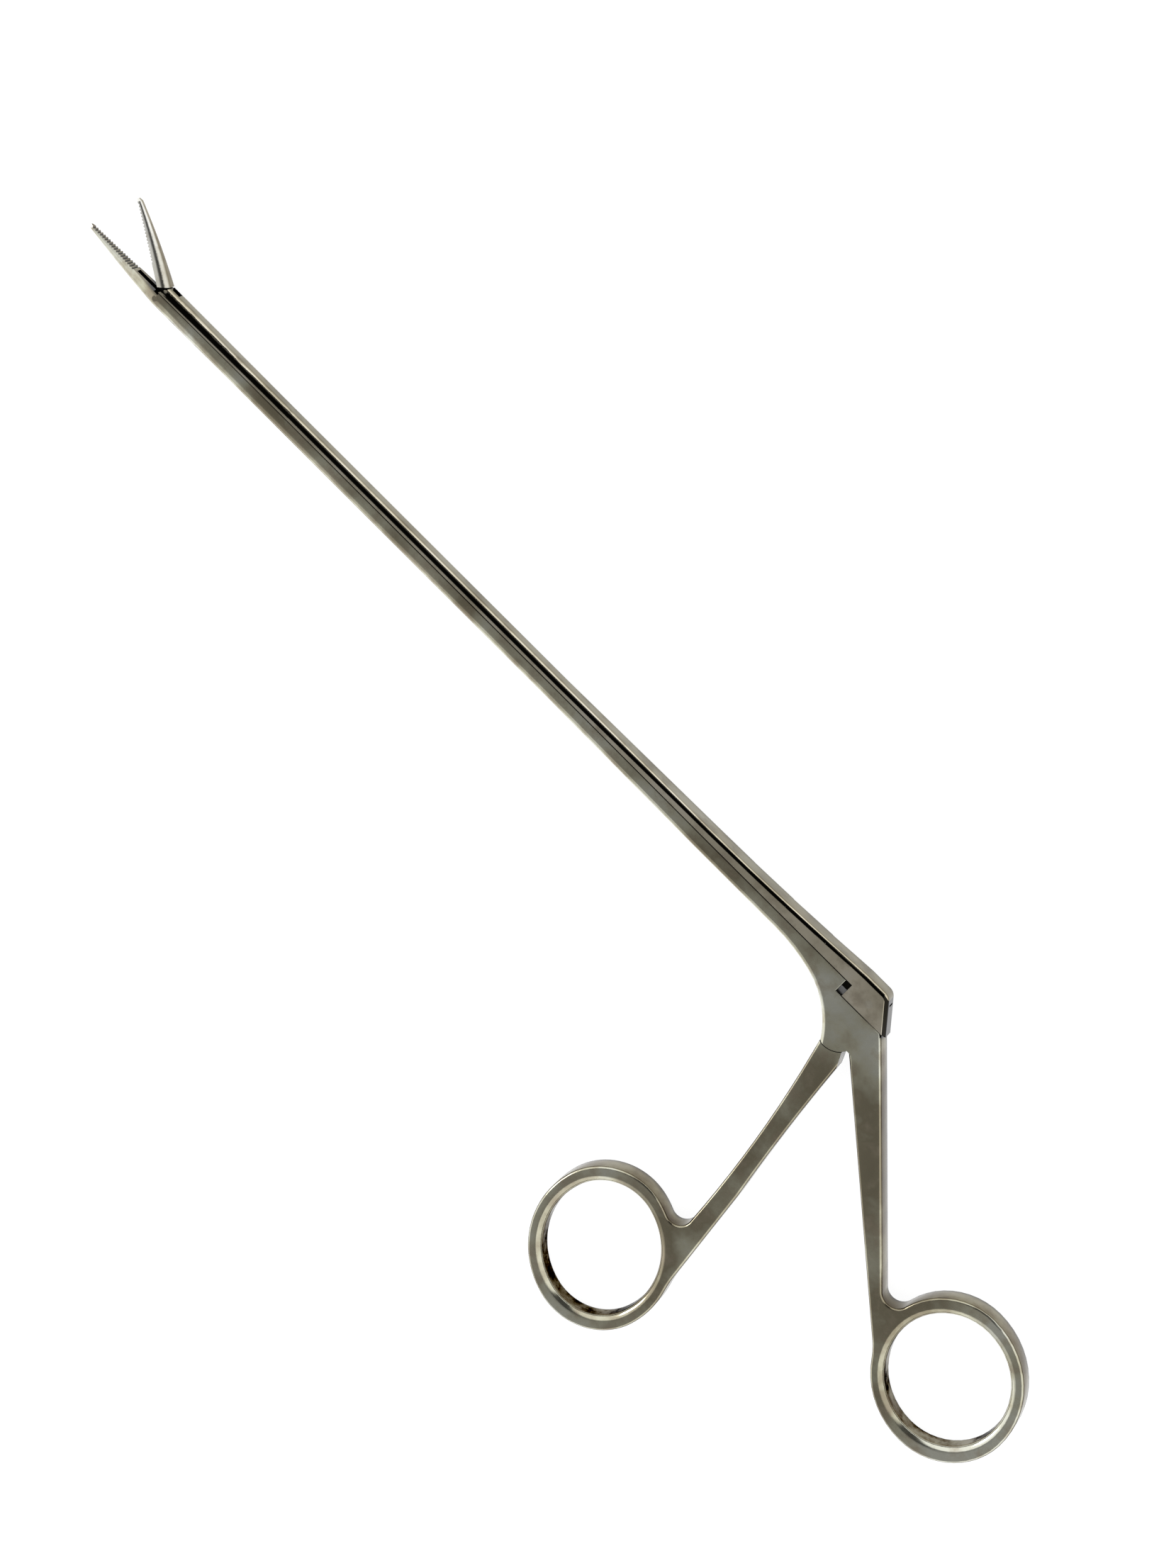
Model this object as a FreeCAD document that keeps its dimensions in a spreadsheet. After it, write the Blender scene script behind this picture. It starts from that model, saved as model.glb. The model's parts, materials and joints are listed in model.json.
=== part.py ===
import FreeCAD, Part
import math
import os
from types import SimpleNamespace

import Sketcher
from FreeCAD import Placement, Rotation, Vector

# Alligator forceps, lying on its side face. The origin is on the lever's pivot axis, in the lower side
# face. +X runs back along the shaft to the handles, the jaws point to -X, +Y is the side of the hood
# and +Z is up. Every sub-part is drawn on the forceps' middle plane, half a thickness above the origin.

doc = FreeCAD.newDocument("AlligatorForceps")
sheet = doc.addObject("Spreadsheet::Sheet", "Sizes")

# Driving dimensions, in millimetres and degrees. Heights are along +Y from the lever's pivot.
driving_sizes = {
    "plate_thickness": 5.0,
    "running_clearance": 0.05,
    "side_clearance": 0.1,
    "end_clearance": 0.3,
    "cut_overrun": 1.0,
    "joint_overlap": 0.5,
    "pick_margin": 0.1,
    # shaft: the seam between frame and slide, and four stations from the yoke to the clevis
    "seam_height": 7.75,
    "seam_gap": 0.08,
    "seam_bevel": 0.15,
    "yoke_station": 42.0,
    "rear_station": 80.0,
    "front_station": 150.0,
    "jaw_pivot_station": 183.1,
    "yoke_width": 5.0,
    "rear_width": 4.3,
    "front_width": 4.2,
    "tip_width": 4.6,
    "yoke_bar_depth": 2.7,
    "rear_bar_depth": 2.68,
    "front_bar_depth": 2.7,
    "tip_bar_depth": 2.8,
    "yoke_slide_rise": 1.9,
    "rear_slide_rise": 1.68,
    "front_slide_rise": 1.72,
    "tip_slide_rise": 1.85,
    "yoke_corner": 0.9,
    "rear_corner": 1.25,
    "front_corner": 1.35,
    "tip_corner": 1.65,
    # yoke and neck
    "lower_seam_height": 4.9,
    "step_station": 5.3,
    "neck_radius": 4.35,
    "neck_start_angle": 104.0,
    "neck_end_angle": 27.0,
    "belly_start": 21.2,
    "belly_end": 11.5,
    "belly_drop": 1.35,
    "belly_radius": 37.0,
    "throat_radius": 18.0,
    "crotch_reach": 4.3,
    "crotch_height": 2.0,
    "shank_top_reach": 6.2,
    # rear shank and ring
    "rear_shank_inner_angle": 42.3,
    "rear_shank_outer_angle": 46.6,
    "rear_ring_x": 59.8,
    "rear_ring_y": 34.2,
    "rear_ring_turn": 45.0,
    "rear_hole_long": 12.85,
    "rear_hole_short": 11.9,
    "rear_wall_long": 3.2,
    "rear_wall_short": 2.6,
    "rear_notch_radius": 2.8,
    "rear_blend_radius": 14.0,
    # front handle: shank and ring
    "shoulder_gap": 0.15,
    "front_shank_top_y": 2.2,
    "front_shank_top_right": 3.1,
    "front_shank_bow_y": 7.0,
    "front_shank_bow_left": 0.37,
    "front_shank_lead": 5.2,
    "front_shank_foot_y": 58.5,
    "front_shank_foot_left": 6.5,
    "front_shank_toe_y": 64.5,
    "front_shank_toe_right": 11.9,
    "front_shank_calf_y": 37.7,
    "front_shank_calf_right": 8.8,
    "front_shank_cheek_y": 6.0,
    "front_shank_cheek_right": 4.8,
    "shank_front_bow": 249.0,
    "shank_rear_bow": 420.0,
    "front_ring_x": 2.1,
    "front_ring_y": 65.1,
    "front_ring_turn": 61.3,
    "front_hole_long": 13.3,
    "front_hole_short": 11.5,
    "front_wall_long": 3.0,
    "front_wall_short": 2.7,
    "front_notch_radius": 2.6,
    "front_blend_radius": 20.0,
    "ring_inner_round": 1.25,
    "handle_edge_bevel": 0.45,
    # lever inside the yoke
    "tongue_thickness": 2.0,
    "arm_half_width": 2.6,
    "fork_clearance": 0.08,
    "tongue_hub_radius": 3.2,
    "tongue_root_left": 0.4,
    "tongue_root_right": 3.0,
    "yoke_slot_half_width": 3.8,
    "handle_pin_radius": 1.5,
    "drive_radius": 7.5,
    "drive_pin_radius": 0.8,
    "fork_radius": 1.75,
    "fork_reach": 2.6,
    # hood of the slide
    "hood_height": 11.15,
    "hood_crown_start": 3.0,
    "crown_radius": 700.0,
    "hood_front_reach": 3.9,
    "hood_top_reach": 2.3,
    "hood_bottom_reach": 7.1,
    "hood_corner_radius": 2.0,
    "hood_slot_front": 1.9,
    "hood_slot_rear": 3.7,
    "hood_slot_roof": 1.5,
    "nose_foot": 0.6,
    # guides under the slide
    "keel_thickness": 1.8,
    "keel_length": 12.1,
    "keel_depth": 1.9,
    "lug_length": 6.0,
    "lug_neck_width": 1.2,
    "lug_head_width": 2.3,
    "lug_head_height": 0.65,
    "lug_depth": 1.75,
    "front_lug_station": 170.0,
    "rear_lug_station": 40.0,
    # jaws and their linkage
    "jaw_pivot_height": 6.45,
    "jaw_open_angle": 33.0,
    "link_radius": 2.35,
    "jaw_pin_radius": 0.5,
    "link_pin_radius": 0.4,
    "link_pin_length": 3.9,
    "tang_thickness": 1.5,
    "knuckle_radius": 0.95,
    "link_eye_radius": 0.72,
    "link_play": 0.13,
    "jaw_length": 18.4,
    "jaw_middle": 7.2,
    "jaw_face_drop": 0.38,
    "jaw_face_gap": 0.06,
    "jaw_root_reach": 1.9,
    "jaw_root_slope": 0.7,
    "jaw_root_width": 4.4,
    "jaw_root_corner": 1.58,
    "jaw_middle_width": 3.0,
    "jaw_middle_depth": 1.95,
    "jaw_middle_corner": 1.26,
    "jaw_tip_width": 1.4,
    "jaw_tip_depth": 0.75,
    "jaw_tip_corner": 0.5,
    "jaw_end_width": 0.7,
    "jaw_end_depth": 0.35,
    "jaw_end_corner": 0.25,
    "jaw_end_length": 0.6,
    "tang_reach": 2.0,
    "tang_rise": 1.3,
    "tang_dip": 0.5,
    "tang_sink": 0.1,
    "nose_reach": 0.3,
    "nose_slope": 2.4,
    "clevis_floor": 0.45,
    "clevis_front": 6.1,
    "clevis_rear": 3.0,
    "tooth_pitch": 0.62,
    "tooth_depth": 0.24,
    "tooth_land": 0.06,
    "tooth_run": 11.2,
}

for row, (alias, value) in enumerate(driving_sizes.items(), start=1):
    sheet.set(f"A{row}", alias)
    sheet.set(f"B{row}", str(value))
    sheet.setAlias(f"B{row}", alias)
doc.recompute()


class Size:
    # A size knows its number and the expression over the sheet's cells that gives it.

    def __init__(self, number, text):
        self.number = number
        self.text = text

    def __add__(self, other):
        other = as_size(other)
        return Size(self.number + other.number, f"({self.text} + {other.text})")

    def __sub__(self, other):
        other = as_size(other)
        return Size(self.number - other.number, f"({self.text} - {other.text})")

    def __mul__(self, other):
        other = as_size(other)
        return Size(self.number * other.number, f"({self.text} * {other.text})")

    def __truediv__(self, other):
        other = as_size(other)
        return Size(self.number / other.number, f"({self.text} / {other.text})")

    def __neg__(self):
        return Size(-self.number, f"(0 - {self.text})")

    __radd__ = __add__
    __rmul__ = __mul__

    def __rsub__(self, other):
        return as_size(other) - self


def as_size(value):
    return value if isinstance(value, Size) else Size(float(value), str(value))


def sine(angle):
    return Size(math.sin(math.radians(angle.number)), f"sin({angle.text})")


def cosine(angle):
    return Size(math.cos(math.radians(angle.number)), f"cos({angle.text})")


def square_root(value):
    return Size(math.sqrt(value.number), f"sqrt({value.text})")


size = SimpleNamespace(
    **{alias: Size(sheet.get(alias), f"Sizes.{alias}") for alias in driving_sizes}
)


# Sketches and features

def new_body(name):
    body = doc.addObject("PartDesign::Body", name)
    body.Label = name
    body.Placement = Placement(Vector(0, 0, size.plate_thickness.number / 2), Rotation())
    body.setExpression("Placement.Base.z", (size.plate_thickness / 2).text)
    return body


def new_sketch(body, name, role="XY_Plane", offset=None):
    sketch = body.newObject("Sketcher::SketchObject", f"{body.Name}_{name}")
    plane = next(item for item in body.Origin.OriginFeatures if item.Role == role)
    sketch.AttachmentSupport = [(plane, "")]
    sketch.MapMode = "FlatFace"
    if offset is not None:
        sketch.AttachmentOffset = Placement(Vector(0, 0, offset.number), Rotation())
        sketch.setExpression("AttachmentOffset.Base.z", offset.text)
    return sketch


def bind(sketch, index, expression):
    sketch.setExpression(f"Constraints[{index}]", expression.text)


def fix_point(sketch, geometry, end, across, along):
    for kind, value in (("DistanceX", as_size(across)), ("DistanceY", as_size(along))):
        index = sketch.addConstraint(
            Sketcher.Constraint(kind, -1, 1, geometry, end, value.number)
        )
        bind(sketch, index, value)


def arc_between(start, end, radius):
    # A positive radius keeps the centre on the left of the way from start to end. The arc itself
    # always runs anticlockwise, so it is drawn backwards where the centre is on the right.
    chord = end - start
    reach = math.sqrt(max(radius * radius - (chord.Length / 2) ** 2, 0))
    left = Vector(-chord.y, chord.x, 0).normalize()
    centre = (start + end) * 0.5 + left * math.copysign(reach, radius)
    first, last = (start, end) if radius > 0 else (end, start)
    first_angle = math.atan2(first.y - centre.y, first.x - centre.x)
    last_angle = math.atan2(last.y - centre.y, last.x - centre.x)
    if last_angle < first_angle:
        last_angle += 2 * math.pi
    circle = Part.Circle(centre, Vector(0, 0, 1), abs(radius))
    return Part.ArcOfCircle(circle, first_angle, last_angle)


HALF_ROUND = "half round"
smooth_angle = math.radians(3)
same_place = 1e-4
hole_samples = 9
diagonal = math.sqrt(0.5)
oval_share = diagonal / (2 * diagonal - 1)


def draw_outline(sketch, corners):
    # Each corner is (x, y), or (x, y, radius) where an arc leads from it to the next corner. A radius
    # of HALF_ROUND makes a half circle that bulges to the right of the way.
    count = len(corners)
    points = [Vector(as_size(c[0]).number, as_size(c[1]).number, 0) for c in corners]
    ends = []
    for index, corner in enumerate(corners):
        start = points[index]
        end = points[(index + 1) % count]
        if len(corner) == 3:
            half_round = (end - start).Length / 2
            radius = half_round if corner[2] == HALF_ROUND else as_size(corner[2]).number
            sketch.addGeometry(arc_between(start, end, radius), False)
            ends.append((1, 2) if radius > 0 else (2, 1))
        else:
            sketch.addGeometry(Part.LineSegment(start, end), False)
            ends.append((1, 2))
    for index in range(count):
        after = (index + 1) % count
        sketch.addConstraint(
            Sketcher.Constraint("Coincident", index, ends[index][1], after, ends[after][0])
        )
    for index, corner in enumerate(corners):
        fix_point(sketch, index, ends[index][0], corner[0], corner[1])
        if len(corner) == 3 and corner[2] == HALF_ROUND:
            sketch.addConstraint(Sketcher.Constraint("Symmetric", index, 1, index, 2, index, 3))
        elif len(corner) == 3:
            radius = as_size(corner[2])
            if radius.number < 0:
                radius = -radius
            number = sketch.addConstraint(Sketcher.Constraint("Radius", index, radius.number))
            bind(sketch, number, radius)


def lead_in(start, end, radius, length):
    # The point from which a straight line runs into the arc from start to end that bulges to the
    # left of the way.
    across = end[0] - start[0]
    along = end[1] - start[1]
    chord = square_root(across * across + along * along)
    turn_sine = chord / (2 * radius)
    turn_cosine = square_root(1 - turn_sine * turn_sine)
    share = length / chord
    return (start[0] - share * (across * turn_cosine - along * turn_sine),
            start[1] - share * (along * turn_cosine + across * turn_sine))


def draw_circle(sketch, across, along, radius):
    centre = Vector(as_size(across).number, as_size(along).number, 0)
    index = sketch.addGeometry(Part.Circle(centre, Vector(0, 0, 1), radius.number), False)
    fix_point(sketch, index, 3, across, along)
    number = sketch.addConstraint(Sketcher.Constraint("Radius", index, radius.number))
    bind(sketch, number, radius)


def draw_oval(sketch, across, along, long_half, short_half, turn):
    # Four tangent arcs that meet in the diagonal directions. turn is the angle of the long axis below
    # the +X axis.
    bulge = (long_half - short_half) * oval_share
    end_radius = long_half - bulge
    side_radius = short_half + bulge
    join_short = end_radius * diagonal
    join_long = bulge + join_short
    corners = []
    for long_way, short_way, radius in ((1, -1, end_radius), (1, 1, side_radius),
                                        (-1, 1, end_radius), (-1, -1, side_radius)):
        run = join_long * long_way
        rise = join_short * short_way
        corners.append((across + run * cosine(turn) + rise * sine(turn),
                        along - run * sine(turn) + rise * cosine(turn), radius))
    draw_outline(sketch, corners)


def add_feature(body, kind, name, sketch, length):
    feature = body.newObject(f"PartDesign::{kind}", f"{body.Name}_{name}")
    feature.Profile = sketch
    feature.SideType = "Symmetric"
    feature.Length = length.number
    feature.setExpression("Length", length.text)
    doc.recompute()
    return feature


def pad(body, name, sketch, length):
    return add_feature(body, "Pad", name, sketch, length)


def pocket(body, name, sketch, length=None):
    # Without a length, the pocket goes right through.
    if length is None:
        length = size.plate_thickness * 2
    before = body.Shape.Volume
    feature = add_feature(body, "Pocket", name, sketch, length)
    if body.Shape.Volume >= before:
        raise RuntimeError(f"{feature.Name} cuts nothing")
    return feature


def drill(body, name, across, along, radius):
    sketch = new_sketch(body, f"{name}_circle")
    draw_circle(sketch, across, along, radius)
    return pocket(body, name, sketch)


def loft(body, name, sections, straight):
    feature = body.newObject("PartDesign::AdditiveLoft", f"{body.Name}_{name}")
    feature.Profile = sections[0]
    feature.Sections = sections[1:]
    feature.Ruled = straight
    doc.recompute()
    return feature


def is_sharp(shape, edge):
    point = middle_of(edge)
    faces = shape.ancestorsOfType(edge, Part.Face)
    normals = [face.normalAt(*face.Surface.parameter(point)) for face in faces]
    return len(normals) == 2 and normals[0].getAngle(normals[1]) > smooth_angle


def dress_edges(body, kind, name, width, wanted):
    # wanted(edge) picks among the sharp edges of the body's present shape.
    shape = body.Shape
    names = [
        f"Edge{i + 1}" for i, edge in enumerate(shape.Edges) if wanted(edge) and is_sharp(shape, edge)
    ]
    if not names:
        raise RuntimeError(f"{body.Name}_{name} finds no edge")
    feature = body.newObject(f"PartDesign::{kind}", f"{body.Name}_{name}")
    feature.Base = (feature.BaseFeature, names)
    measure = {"Fillet": "Radius", "Chamfer": "Size"}[kind]
    setattr(feature, measure, width.number)
    feature.setExpression(measure, width.text)
    doc.recompute()


def round_edges(body, name, radius, wanted):
    dress_edges(body, "Fillet", name, radius, wanted)


def bevel_edges(body, name, width, wanted):
    dress_edges(body, "Chamfer", name, width, wanted)


def repeat_along(body, name, feature, run, count):
    pattern = body.newObject("PartDesign::LinearPattern", f"{body.Name}_{name}")
    pattern.Originals = [feature]
    axis = next(item for item in body.Origin.OriginFeatures if item.Role == "X_Axis")
    pattern.Direction = (axis, [""])
    pattern.Reversed = False
    pattern.Length = run.number
    pattern.setExpression("Length", run.text)
    pattern.Occurrences = count
    body.Tip = pattern
    doc.recompute()
    return pattern


def middle_of(edge):
    return edge.valueAt((edge.FirstParameter + edge.LastParameter) / 2)


def in_side_face(edge):
    box = edge.BoundBox
    low = abs(box.ZMin) < same_place
    high = abs(box.ZMin - size.plate_thickness.number) < same_place
    return box.ZLength < same_place and (low or high)


def on_hole(edge, centre, hole_long):
    middle = Vector(centre[0].number, centre[1].number, middle_of(edge).z)
    reach = max((point - middle).Length for point in edge.discretize(hole_samples))
    return in_side_face(edge) and reach < hole_long.number + size.pick_margin.number


def upright(edge):
    box = edge.BoundBox
    return box.XLength < same_place and box.YLength < same_place


def at_height(edge, height):
    box = edge.BoundBox
    return abs(box.YMin - height.number) < same_place and box.YLength < same_place


def at_station(edge, station):
    box = edge.BoundBox
    return abs(box.XMin - station.number) < same_place and box.XLength < same_place


# The section of the shaft or of a jaw: flat on one side, with two rounded corners on the far side.

def draw_section(body, name, station, width, flat, far, corner, bevel=None):
    sketch = new_sketch(body, name, "YZ_Plane", station)
    half = width / 2
    turn = 1 if far.number > flat.number else -1
    inset = far - corner * turn
    corners = [
        (inset, -half, corner * turn),
        (far, corner - half),
        (far, half - corner, corner * turn),
        (inset, half),
    ]
    if bevel is None:
        corners += [(flat, half), (flat, -half)]
    else:
        lip = flat + bevel * turn
        corners += [(lip, half), (flat, half - bevel), (flat, bevel - half), (lip, -half)]
    draw_outline(sketch, corners)
    return sketch


# Values that several pieces share

origin = Size(0.0, "0")
half_travel = size.link_radius * sine(size.jaw_open_angle / 2)
travel = 2 * half_travel
link_height = size.jaw_pivot_height + size.link_radius * cosine(size.jaw_open_angle / 2)
drive_height = square_root(size.drive_radius * size.drive_radius - half_travel * half_travel)
jaw_pivot_x = -size.jaw_pivot_station
link_x = jaw_pivot_x + half_travel
jaw_face_height = size.seam_height - size.jaw_face_drop
tooth_start = size.jaw_length - size.jaw_end_length
half_pitch = 0.5
slide_floor = size.seam_height + size.seam_gap
rear_centre = (size.rear_ring_x, -size.rear_ring_y)
front_centre = (-size.front_ring_x, -size.front_ring_y)
slot_width = size.tongue_thickness + 2 * size.side_clearance
tang_slot_width = size.tang_thickness + 2 * size.side_clearance

stations = [
    (-size.yoke_station, size.yoke_width, size.yoke_bar_depth, size.yoke_slide_rise,
     size.yoke_corner),
    (-size.rear_station, size.rear_width, size.rear_bar_depth, size.rear_slide_rise,
     size.rear_corner),
    (-size.front_station, size.front_width, size.front_bar_depth, size.front_slide_rise,
     size.front_corner),
    (jaw_pivot_x, size.tip_width, size.tip_bar_depth, size.tip_slide_rise, size.tip_corner),
]

link_eye_x = -(size.link_radius * sine(size.jaw_open_angle / 2))
link_eye_y = size.link_radius * cosine(size.jaw_open_angle / 2)

lug_places = {"front": -size.front_lug_station, "rear": -size.rear_lug_station}


# Frame: lower half of the shaft, fixed jaw, yoke, rear shank and rear ring in one forging

def add_ring(body, name, centre, hole_long, hole_short, wall_long, wall_short, turn):
    rim = new_sketch(body, f"{name}_rim")
    draw_oval(rim, centre[0], centre[1], hole_long + wall_long, hole_short + wall_short, turn)
    pad(body, f"{name}_blank", rim, size.plate_thickness)
    hole = new_sketch(body, f"{name}_hole")
    draw_oval(hole, centre[0], centre[1], hole_long, hole_short, turn)
    pocket(body, f"{name}_eye", hole)


def near_ring(edge, centre, reach):
    middle = middle_of(edge)
    across = middle.x - centre[0].number
    along = middle.y - centre[1].number
    return math.hypot(across, along) < reach.number


def cut_teeth(body, face, tip, shift, inward):
    # One groove at the tip end, repeated along the face towards the pivot. inward is 1 where the
    # metal lies above the face and -1 where it lies below.
    groove = new_sketch(body, "groove")
    first = tip + size.tooth_pitch * shift
    mouth = face - size.tooth_land * inward
    draw_outline(groove, [
        (first, mouth),
        (first + size.tooth_pitch / 2, face + size.tooth_depth * inward),
        (first + size.tooth_pitch, mouth),
    ])
    cut = pocket(body, "groove_cut", groove)
    count = int(round(size.tooth_run.number / size.tooth_pitch.number))
    repeat_along(body, "teeth", cut, size.tooth_pitch * (count - 1), count)


def cut_guide_slots(body):
    # Keyholes in the lower shaft for the slide's T lugs. Each is wide open behind the lug, where the
    # lug enters, and undercut where it runs.
    for name, place in lug_places.items():
        front = place - travel - size.end_clearance
        rear = place + size.lug_length + size.end_clearance
        floor = size.seam_height - size.lug_depth - size.side_clearance
        ceiling = floor + size.lug_head_height + 2 * size.side_clearance
        neck = new_sketch(body, f"{name}_neck")
        draw_outline(neck, rectangle(front, rear, floor, size.seam_height))
        pocket(body, f"{name}_neck_slot", neck, size.lug_neck_width + 2 * size.side_clearance)
        head = new_sketch(body, f"{name}_head")
        draw_outline(head, rectangle(front, rear, floor, ceiling))
        head_width = size.lug_head_width + 2 * size.side_clearance
        pocket(body, f"{name}_head_slot", head, head_width)
        entry = new_sketch(body, f"{name}_entry")
        entry_rear = rear + size.lug_length + size.end_clearance
        draw_outline(entry, rectangle(rear, entry_rear, floor, size.seam_height))
        pocket(body, f"{name}_entry_slot", entry, head_width)


def rectangle(low_x, high_x, low_y, high_y):
    return [(low_x, low_y), (high_x, low_y), (high_x, high_y), (low_x, high_y)]


def add_blade(body, root, pivot, face, away):
    # A jaw from its root section to its blunt end. away is the side of the face that the metal is on.
    sections = [root]
    for name, reach, width, depth, corner in (
        ("middle", size.jaw_middle, size.jaw_middle_width, size.jaw_middle_depth,
         size.jaw_middle_corner),
        ("tip", size.jaw_length - size.jaw_end_length, size.jaw_tip_width, size.jaw_tip_depth,
         size.jaw_tip_corner),
        ("end", size.jaw_length, size.jaw_end_width, size.jaw_end_depth, size.jaw_end_corner),
    ):
        back = face + depth * away
        sections.append(draw_section(body, f"jaw_{name}", pivot - reach, width, face, back, corner))
    loft(body, "jaw_blade", sections[:3], straight=False)
    loft(body, "jaw_point", sections[2:], straight=True)


def make_frame():
    body = new_body("lower_frame")
    outline = new_sketch(body, "yoke_outline")
    inner_run = (
        (rear_centre[0] - size.crotch_reach) * cosine(size.rear_shank_inner_angle)
        - (rear_centre[1] + size.crotch_height) * sine(size.rear_shank_inner_angle)
    )
    outer_run = (
        (rear_centre[0] - size.shank_top_reach) * cosine(size.rear_shank_outer_angle)
        - (rear_centre[1] - size.lower_seam_height) * sine(size.rear_shank_outer_angle)
    )
    belly_height = size.seam_height - size.yoke_bar_depth
    neck_start = (-(size.neck_radius * cosine(180 - size.neck_start_angle)),
                  -(size.neck_radius * sine(size.neck_start_angle)))
    draw_outline(outline, [
        (-size.yoke_station, size.seam_height),
        (-size.yoke_station, belly_height),
        (-size.belly_start, belly_height, -size.belly_radius),
        (-size.belly_end, belly_height - size.belly_drop, -size.throat_radius),
        (neck_start[0], neck_start[1], size.neck_radius),
        (size.neck_radius * cosine(size.neck_end_angle),
         -(size.neck_radius * sine(size.neck_end_angle))),
        (size.crotch_reach, -size.crotch_height),
        (size.crotch_reach + inner_run * cosine(size.rear_shank_inner_angle),
         -size.crotch_height - inner_run * sine(size.rear_shank_inner_angle)),
        (size.shank_top_reach + outer_run * cosine(size.rear_shank_outer_angle),
         size.lower_seam_height - outer_run * sine(size.rear_shank_outer_angle)),
        (size.shank_top_reach, size.lower_seam_height),
        (-size.step_station, size.lower_seam_height),
        (-size.step_station, size.seam_height),
    ])
    pad(body, "yoke", outline, size.plate_thickness)
    add_ring(body, "ring", rear_centre, size.rear_hole_long, size.rear_hole_short,
             size.rear_wall_long, size.rear_wall_short, size.rear_ring_turn)

    rim_reach = size.rear_hole_long + size.rear_wall_long + size.pick_margin
    fork_level = rear_centre[1] - size.rear_hole_short / 4

    def notch_edge(edge):
        return upright(edge) and near_ring(edge, rear_centre, rim_reach) \
            and middle_of(edge).y > fork_level.number

    def blend_edge(edge):
        return upright(edge) and near_ring(edge, rear_centre, rim_reach) \
            and middle_of(edge).y < fork_level.number

    round_edges(body, "notch", size.rear_notch_radius, notch_edge)
    round_edges(body, "blend", size.rear_blend_radius, blend_edge)

    def hole_edge(edge):
        return on_hole(edge, rear_centre, size.rear_hole_long)

    def handle_edge(edge):
        middle = middle_of(edge)
        behind = middle.x > size.crotch_reach.number + size.pick_margin.number
        below = middle.y < size.lower_seam_height.number - size.pick_margin.number
        return in_side_face(edge) and behind and below and not hole_edge(edge)

    def belly_edge(edge):
        middle = middle_of(edge)
        below = middle.y < belly_height.number + size.pick_margin.number
        ahead = middle.x < neck_start[0].number
        at_seam = at_height(edge, size.lower_seam_height) or at_station(edge, -size.step_station)
        return in_side_face(edge) and ahead and below and not at_seam

    def seam_edge(edge):
        at_seam = at_height(edge, size.lower_seam_height) or at_height(edge, size.seam_height)
        at_step = at_station(edge, -size.step_station)
        return in_side_face(edge) and (at_seam or at_step)

    bevel_edges(body, "handle_edges", size.handle_edge_bevel, handle_edge)
    round_edges(body, "ring_lip", size.ring_inner_round, hole_edge)
    round_edges(body, "belly_edges", size.yoke_corner, belly_edge)
    bevel_edges(body, "seam_edges", size.seam_bevel, seam_edge)

    bar = []
    for index, (station, width, depth, rise, corner) in enumerate(stations):
        far = size.seam_height - depth
        bar.append(draw_section(body, f"bar_{index}", station, width, size.seam_height, far, corner,
                                size.seam_bevel))
    loft(body, "bar", bar, straight=True)

    root = draw_section(body, "jaw_root", jaw_pivot_x, size.tip_width, jaw_face_height,
                        size.seam_height - size.tip_bar_depth, size.tip_corner)
    add_blade(body, root, jaw_pivot_x, jaw_face_height, -1)

    slot = new_sketch(body, "lever_slot_outline")
    draw_outline(slot, rectangle(-size.yoke_slot_half_width, size.yoke_slot_half_width,
                                 -size.neck_radius - size.cut_overrun, size.seam_height))
    pocket(body, "lever_slot", slot, slot_width)
    keel = new_sketch(body, "keel_slot_outline")
    keel_floor = size.seam_height - size.keel_depth - size.side_clearance
    keel_front = -size.hood_front_reach - size.keel_length - travel - size.end_clearance
    draw_outline(keel, rectangle(keel_front, -size.yoke_slot_half_width, keel_floor,
                                 size.seam_height))
    pocket(body, "keel_slot", keel, size.keel_thickness + 2 * size.side_clearance)
    cut_guide_slots(body)
    clevis = new_sketch(body, "clevis_outline")
    clevis_floor = size.seam_height - size.tip_bar_depth + size.clevis_floor
    draw_outline(clevis, rectangle(jaw_pivot_x - size.clevis_front, jaw_pivot_x + size.clevis_rear,
                                   clevis_floor, size.seam_height))
    pocket(body, "clevis", clevis, tang_slot_width)
    drill(body, "jaw_pin_hole", jaw_pivot_x, size.jaw_pivot_height, size.jaw_pin_radius)
    drill(body, "handle_pin_hole", origin, origin, size.handle_pin_radius)
    cut_teeth(body, jaw_face_height, jaw_pivot_x - tooth_start, 0, -1)
    return body


# Slide: upper half of the shaft with its hood, keel and T lugs

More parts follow.
